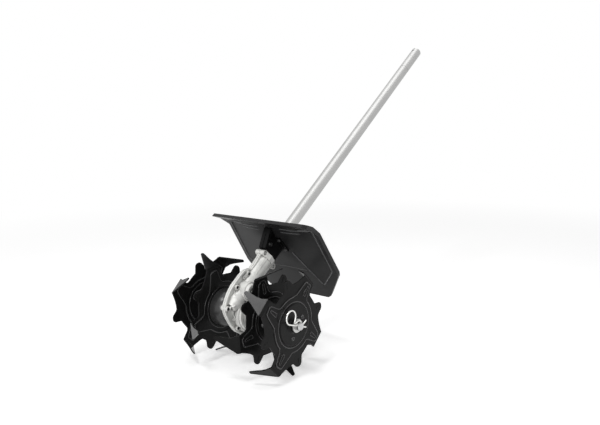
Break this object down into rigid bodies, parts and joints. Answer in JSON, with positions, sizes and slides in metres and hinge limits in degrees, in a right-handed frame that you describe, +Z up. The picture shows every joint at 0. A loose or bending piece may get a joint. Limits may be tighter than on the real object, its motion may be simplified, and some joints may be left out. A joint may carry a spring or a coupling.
{
  "type": "cultivator attachment",
  "caption": "Cultivator attachment for a cordless garden pole tool: a drive tube, guard and cast worm gear case that turns stamped tine discs on a cross axle.",
  "frame": {"origin": "on the shaft tube's axis, in the middle of the 85 mm stretch that goes into the power head's coupler", "axes": "+X along the tine axle to the side with the grease plug, +Y level towards the user, +Z up"},
  "size_m": [0.282, 0.792, 0.688],
  "materials": {
    "tube_aluminium": "drawn and anodised, satin",
    "cast_aluminium": "as die cast, matt",
    "guard_plastic": "fine grain",
    "bracket_plastic": "fine grain",
    "black_steel": "black powder coat, half gloss",
    "plain_steel": "ground",
    "zinc_steel": "zinc plated",
    "dark_screws": "black oxide",
    "spring_wire": "bright zinc",
    "bearing_steel": "ground and polished",
    "bronze": "machined",
    "seal_rubber": "smooth",
    "gasket": "fibre sheet",
    "pale_nylon": "moulded"
  },
  "bodies": {
    "frame": {"shaft_tube": "tube_aluminium", "drive_shaft_bushes": "pale_nylon", "gear_case_right": "cast_aluminium", "gear_case_left": "cast_aluminium", "case_gasket": "gasket", "case_screws": "zinc_steel", "tube_clamp_screws": "zinc_steel", "grease_plug": "zinc_steel", "worm_bearing_outer_rings": "bearing_steel", "worm_shaft_seal": "seal_rubber", "axle_bush_right": "bronze", "axle_bush_left": "bronze", "oil_seal_right": "seal_rubber", "oil_seal_left": "seal_rubber", "guard": "guard_plastic", "guard_bracket": "bracket_plastic", "bracket_bolt": "dark_screws", "bracket_nut": "dark_screws", "guard_screws": "dark_screws", "guard_nuts": "dark_screws"},
    "tine_rotor": {"axle": "plain_steel", "worm_wheel": "bronze", "axle_key": "plain_steel", "thrust_washers": "bronze", "dust_cup_right": "black_steel", "dust_cup_left": "black_steel", "inner_hub_right": "black_steel", "inner_hub_left": "black_steel", "outer_hub_right": "black_steel", "outer_hub_left": "black_steel", "inner_tine_right": "black_steel", "inner_tine_left": "black_steel", "outer_tine_right": "black_steel", "outer_tine_left": "black_steel", "tine_rivets": "black_steel", "end_washer_right": "zinc_steel", "end_washer_left": "zinc_steel", "hitch_pin_right": "spring_wire", "hitch_pin_left": "spring_wire"},
    "drive_train": {"drive_shaft": "plain_steel", "worm": "plain_steel", "worm_bearing_inner_rings": "bearing_steel", "worm_bearing_balls": "bearing_steel"}
  },
  "joints": [
    {"name": "tine_spin", "type": "hinge", "parent": "frame", "child": "tine_rotor", "pos_m": [0, -0.64153, -0.54321], "axis": [1, 0, 0], "continuous": true},
    {"name": "drive_spin", "type": "hinge", "parent": "frame", "child": "drive_train", "pos_m": [0, 0, 0], "axis": [0, 0.7955, 0.606], "continuous": true}
  ],
  "couplings": [
    {"joint": "drive_spin", "follows": "tine_spin", "ratio": 36}
  ]
}
